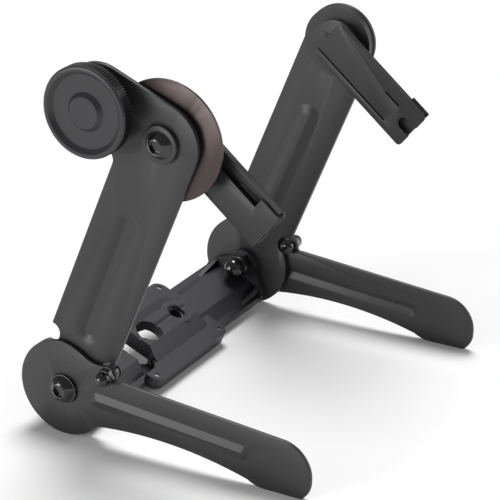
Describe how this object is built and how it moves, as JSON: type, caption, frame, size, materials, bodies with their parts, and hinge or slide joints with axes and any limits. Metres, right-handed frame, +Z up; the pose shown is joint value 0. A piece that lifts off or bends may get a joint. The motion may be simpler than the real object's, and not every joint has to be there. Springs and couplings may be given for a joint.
{
  "type": "star tracker mount",
  "caption": "Folding sheet-metal cradle on swing-out legs, with tilting channel holders, a knurled friction-drive knob and a tripod socket in its base bar.",
  "frame": {"origin": "on the ground, at the bottom centre of the whole object's box", "axes": "+X from the knob's side to the plain side, along the pivot axes; -Y forward, where the opened legs point; +Z up"},
  "size_m": [0.142, 0.1156, 0.1377],
  "materials": {
    "leg_coat": "fine satin charcoal powder coat",
    "holder_coat": "satin charcoal powder coat",
    "black_screws": "gloss black finish on steel fasteners",
    "moulded_black": "fine spark-textured black moulding",
    "knob_black": "semi-gloss black with a straight knurl",
    "disc_brown": "semi-gloss dark brown disc",
    "hub_black": "satin black turned hub",
    "roller_rubber": "black rubber drive roller",
    "slip_nylon": "dark nylon slip washer",
    "bush_brass": "turned brass bush",
    "bare_steel": "turned steel"
  },
  "bodies": {
    "frame": {"base_bar": "moulded_black", "base_cover": "moulded_black", "base_corner_screws": "bare_steel", "left_upright": "leg_coat", "right_upright": "leg_coat", "pivot_bolts": "black_screws", "pivot_washers": "black_screws", "pivot_nuts": "black_screws", "friction_washers": "slip_nylon", "knob_bushing": "bush_brass"},
    "left_leg_swing": {"left_leg": "leg_coat", "left_stop_sleeve": "black_screws", "left_stop_screw": "black_screws", "left_stop_nut": "black_screws"},
    "right_leg_swing": {"right_leg": "leg_coat", "right_stop_sleeve": "black_screws", "right_stop_screw": "black_screws", "right_stop_nut": "black_screws"},
    "left_tilt_head": {"left_holder": "holder_coat", "left_hub": "hub_black", "left_tilt_disc": "disc_brown", "left_disc_spacer": "slip_nylon", "left_tilt_bolt": "black_screws", "left_tilt_washer": "hub_black"},
    "right_tilt_head": {"right_holder": "holder_coat", "right_hub": "hub_black", "right_hub_puck": "hub_black", "right_tilt_bolt": "black_screws", "right_tilt_washer": "hub_black"},
    "knob_drive": {"knob": "knob_black", "knob_shaft": "bare_steel", "drive_roller": "roller_rubber", "shaft_clip": "bare_steel"}
  },
  "joints": [
    {"name": "left_leg_fold", "type": "hinge", "parent": "frame", "child": "left_leg_swing", "pos_m": [0.00075, 0.03787, 0.0176], "axis": [1, 0, 0], "range_deg": [-4.4, 283]},
    {"name": "right_leg_fold", "type": "hinge", "parent": "frame", "child": "right_leg_swing", "pos_m": [0.00075, 0.03787, 0.0176], "axis": [1, 0, 0], "range_deg": [-4.4, 283]},
    {"name": "left_tilt", "type": "hinge", "parent": "frame", "child": "left_tilt_head", "pos_m": [0.00075, -0.00227, 0.1131], "axis": [1, 0, 0], "continuous": true},
    {"name": "right_tilt", "type": "hinge", "parent": "frame", "child": "right_tilt_head", "pos_m": [0.00075, -0.00227, 0.1131], "axis": [1, 0, 0], "continuous": true},
    {"name": "knob_turn", "type": "hinge", "parent": "frame", "child": "knob_drive", "pos_m": [0.00075, 0.02082, 0.12216], "axis": [1, 0, 0], "continuous": true}
  ],
  "couplings": [
    {"joint": "knob_turn", "follows": "left_tilt", "ratio": -4.7594}
  ]
}
